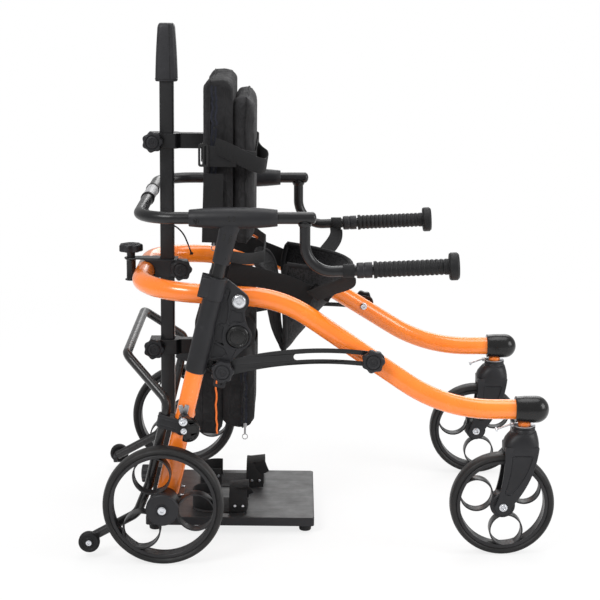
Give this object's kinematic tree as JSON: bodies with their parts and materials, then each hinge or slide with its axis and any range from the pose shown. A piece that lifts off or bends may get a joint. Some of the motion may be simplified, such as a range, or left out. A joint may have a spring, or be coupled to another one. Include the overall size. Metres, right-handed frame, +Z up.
{
  "type": "pediatric standing frame",
  "caption": "Wheeled walking and standing frame for a child: bent tube base on casters, slotted fold struts, handlebar with J handles, mast with footplate, cushions and saddle",
  "frame": {"origin": "on the floor, under the middle of the overall length and width", "axes": "+X forward, the way the child walks; +Y to the child's left; +Z up"},
  "size_m": [0.9158, 0.698, 1.0025],
  "materials": {
    "orange_paint": "glossy powder coat",
    "black_coat": "satin powder coat",
    "black_plastic": "moulded, satin",
    "grey_wheel": "moulded, satin",
    "zinc": "zinc plated",
    "grip_rubber": "matte",
    "nylon": "woven nylon over foam",
    "mesh_cloth": "knitted mesh",
    "webbing": "woven webbing",
    "soft_leather": "soft, satin",
    "plate_laminate": "black laminate on plywood"
  },
  "bodies": {
    "frame": {"main_tube": "orange_paint", "end_cap_right": "black_plastic", "end_cap_left": "black_plastic", "mast_clamp": "black_plastic", "pivot_bolt_right": "zinc", "pivot_bolt_left": "zinc"},
    "rear_frame": {"leg_tube_right": "orange_paint", "leg_tube_left": "orange_paint", "leg_sleeve_right": "black_plastic", "leg_sleeve_left": "black_plastic", "brake_bracket_right": "black_plastic", "brake_bracket_left": "black_plastic", "kick_bar": "black_coat"},
    "handlebar": {"handlebar": "black_coat", "bar_sleeve_right": "black_plastic", "bar_sleeve_left": "black_plastic", "saddle": "mesh_cloth", "rear_strap": "webbing", "tie_cord": "webbing"},
    "standing_unit": {"mast": "black_coat", "head_sleeve": "soft_leather", "footplate": "plate_laminate", "foot_strap_right": "webbing", "foot_strap_left": "webbing"},
    "trunk_support": {"upper_arm": "black_coat", "trunk_back_cushion": "nylon", "trunk_front_cushion": "nylon", "chest_strap": "webbing"},
    "knee_support": {"lower_arm": "black_coat", "knee_back_cushion": "nylon", "knee_front_cushion": "nylon"},
    "clamp_knob": {"clamp_knob": "black_plastic"},
    "spindle_knob": {"spindle_knob": "black_plastic"},
    "upper_arm_knob": {"upper_arm_knob": "black_plastic"},
    "lower_arm_knob": {"lower_arm_knob": "black_plastic"},
    "plate_knob": {"plate_knob": "black_plastic"},
    "handle_right": {"handle_right": "black_coat", "grip_right": "grip_rubber", "front_strap_right": "webbing"},
    "arc_strut_right": {"arc_strut_right": "black_coat"},
    "leg_knob_right": {"leg_knob_right": "black_plastic"},
    "strut_knob_right": {"strut_knob_right": "black_plastic"},
    "caster_fork_right": {"caster_fork_right": "black_plastic"},
    "front_wheel_right": {"front_wheel_right": "grey_wheel"},
    "rear_wheel_right": {"rear_wheel_right": "grey_wheel"},
    "tip_wheel_right": {"tip_wheel_right": "grip_rubber"},
    "fold_button_right": {"fold_button_right": "black_plastic"},
    "brake_cam_right": {"brake_cam_right": "black_plastic"},
    "handle_left": {"handle_left": "black_coat", "grip_left": "grip_rubber", "front_strap_left": "webbing"},
    "arc_strut_left": {"arc_strut_left": "black_coat"},
    "leg_knob_left": {"leg_knob_left": "black_plastic"},
    "strut_knob_left": {"strut_knob_left": "black_plastic"},
    "caster_fork_left": {"caster_fork_left": "black_plastic"},
    "front_wheel_left": {"front_wheel_left": "grey_wheel"},
    "rear_wheel_left": {"rear_wheel_left": "grey_wheel"},
    "tip_wheel_left": {"tip_wheel_left": "grip_rubber"},
    "fold_button_left": {"fold_button_left": "black_plastic"},
    "brake_cam_left": {"brake_cam_left": "black_plastic"}
  },
  "joints": [
    {"name": "fold", "type": "hinge", "parent": "frame", "child": "rear_frame", "pos_m": [-0.14652, 0, 0.50004], "axis": [0, -1, 0], "range_deg": [0, 3]},
    {"name": "handlebar_height", "type": "slide", "parent": "rear_frame", "child": "handlebar", "axis": [0.2368, 0, 0.9715], "range_m": [-0.02, 0.035], "deforming": ["rear_strap"]},
    {"name": "mast_height", "type": "slide", "parent": "frame", "child": "standing_unit", "axis": [0.0105, 0, 0.9999], "range_m": [0, 0.08]},
    {"name": "trunk_support_height", "type": "slide", "parent": "standing_unit", "child": "trunk_support", "axis": [0.0105, 0, 0.9999], "range_m": [0, 0.06]},
    {"name": "knee_support_height", "type": "slide", "parent": "standing_unit", "child": "knee_support", "axis": [0.0105, 0, 0.9999], "range_m": [-0.05, 0.03]},
    {"name": "handle_slide_right", "type": "slide", "parent": "handlebar", "child": "handle_right", "axis": [1, 0, 0], "range_m": [-0.015, 0.05], "deforming": ["front_strap_right"]},
    {"name": "strut_pivot_right", "type": "hinge", "parent": "rear_frame", "child": "arc_strut_right", "pos_m": [-0.17875, -0.2564, 0.36657], "axis": [0, -1, 0], "range_deg": [-3.18, 0.3]},
    {"name": "leg_knob_turn_right", "type": "hinge", "parent": "rear_frame", "child": "leg_knob_right", "pos_m": [-0.17875, -0.27, 0.36657], "axis": [0, 1, 0], "continuous": true},
    {"name": "strut_knob_turn_right", "type": "hinge", "parent": "frame", "child": "strut_knob_right", "pos_m": [0.10615, -0.27, 0.3857], "axis": [0, 1, 0], "continuous": true},
    {"name": "caster_swivel_right", "type": "hinge", "parent": "frame", "child": "caster_fork_right", "pos_m": [0.39655, -0.2565, 0.24], "axis": [0, 0, 1], "continuous": true},
    {"name": "front_wheel_spin_right", "type": "hinge", "parent": "caster_fork_right", "child": "front_wheel_right", "pos_m": [0.35715, -0.2565, 0.1007], "axis": [0, 1, 0], "continuous": true},
    {"name": "rear_wheel_spin_right", "type": "hinge", "parent": "rear_frame", "child": "rear_wheel_right", "pos_m": [-0.29185, -0.31, 0.115], "axis": [0, 1, 0], "continuous": true},
    {"name": "tip_wheel_spin_right", "type": "hinge", "parent": "rear_frame", "child": "tip_wheel_right", "pos_m": [-0.43735, -0.2865, 0.0325], "axis": [0, 1, 0], "continuous": true},
    {"name": "fold_button_press_right", "type": "slide", "parent": "rear_frame", "child": "fold_button_right", "axis": [0, 1, 0], "range_m": [0, 0.003], "stiffness_N_per_m": 400, "springref_m": -0.002},
    {"name": "brake_turn_right", "type": "hinge", "parent": "rear_frame", "child": "brake_cam_right", "pos_m": [-0.25135, -0.305, 0.28], "axis": [0, 1, 0], "range_deg": [0, 30]},
    {"name": "handle_slide_left", "type": "slide", "parent": "handlebar", "child": "handle_left", "axis": [1, 0, 0], "range_m": [-0.015, 0.05], "deforming": ["front_strap_left"]},
    {"name": "strut_pivot_left", "type": "hinge", "parent": "rear_frame", "child": "arc_strut_left", "pos_m": [-0.17875, 0.2564, 0.36657], "axis": [0, -1, 0], "range_deg": [-3.18, 0.3]},
    {"name": "leg_knob_turn_left", "type": "hinge", "parent": "rear_frame", "child": "leg_knob_left", "pos_m": [-0.17875, 0.27, 0.36657], "axis": [0, 1, 0], "continuous": true},
    {"name": "strut_knob_turn_left", "type": "hinge", "parent": "frame", "child": "strut_knob_left", "pos_m": [0.10615, 0.27, 0.3857], "axis": [0, 1, 0], "continuous": true},
    {"name": "caster_swivel_left", "type": "hinge", "parent": "frame", "child": "caster_fork_left", "pos_m": [0.39655, 0.2565, 0.24], "axis": [0, 0, 1], "continuous": true},
    {"name": "front_wheel_spin_left", "type": "hinge", "parent": "caster_fork_left", "child": "front_wheel_left", "pos_m": [0.35715, 0.2565, 0.1007], "axis": [0, 1, 0], "continuous": true},
    {"name": "rear_wheel_spin_left", "type": "hinge", "parent": "rear_frame", "child": "rear_wheel_left", "pos_m": [-0.29185, 0.31, 0.115], "axis": [0, 1, 0], "continuous": true},
    {"name": "tip_wheel_spin_left", "type": "hinge", "parent": "rear_frame", "child": "tip_wheel_left", "pos_m": [-0.43735, 0.2865, 0.0325], "axis": [0, 1, 0], "continuous": true},
    {"name": "fold_button_press_left", "type": "slide", "parent": "rear_frame", "child": "fold_button_left", "axis": [0, -1, 0], "range_m": [0, 0.003], "stiffness_N_per_m": 400, "springref_m": -0.002},
    {"name": "brake_turn_left", "type": "hinge", "parent": "rear_frame", "child": "brake_cam_left", "pos_m": [-0.25135, 0.305, 0.28], "axis": [0, 1, 0], "range_deg": [0, 30]},
    {"name": "clamp_knob_turn", "type": "hinge", "parent": "frame", "child": "clamp_knob", "pos_m": [-0.27106, -0.02, 0.51467], "axis": [0, 1, 0], "continuous": true},
    {"name": "spindle_knob_turn", "type": "hinge", "parent": "frame", "child": "spindle_knob", "pos_m": [-0.37385, 0, 0.54], "axis": [0, 0, 1], "continuous": true},
    {"name": "upper_arm_knob_turn", "type": "hinge", "parent": "trunk_support", "child": "upper_arm_knob", "pos_m": [-0.32286, -0.03, 0.77272], "axis": [0, 1, 0], "continuous": true},
    {"name": "lower_arm_knob_turn", "type": "hinge", "parent": "knee_support", "child": "lower_arm_knob", "pos_m": [-0.32726, -0.03, 0.35225], "axis": [0, 1, 0], "continuous": true},
    {"name": "plate_knob_turn", "type": "hinge", "parent": "standing_unit", "child": "plate_knob", "pos_m": [-0.34464, 0, 0.07741], "axis": [0.9999, 0, -0.0105], "continuous": true}
  ],
  "couplings": [
    {"joint": "strut_pivot_right", "follows": "fold", "ratio": -0.9596},
    {"joint": "strut_pivot_left", "follows": "fold", "ratio": -0.9596}
  ]
}
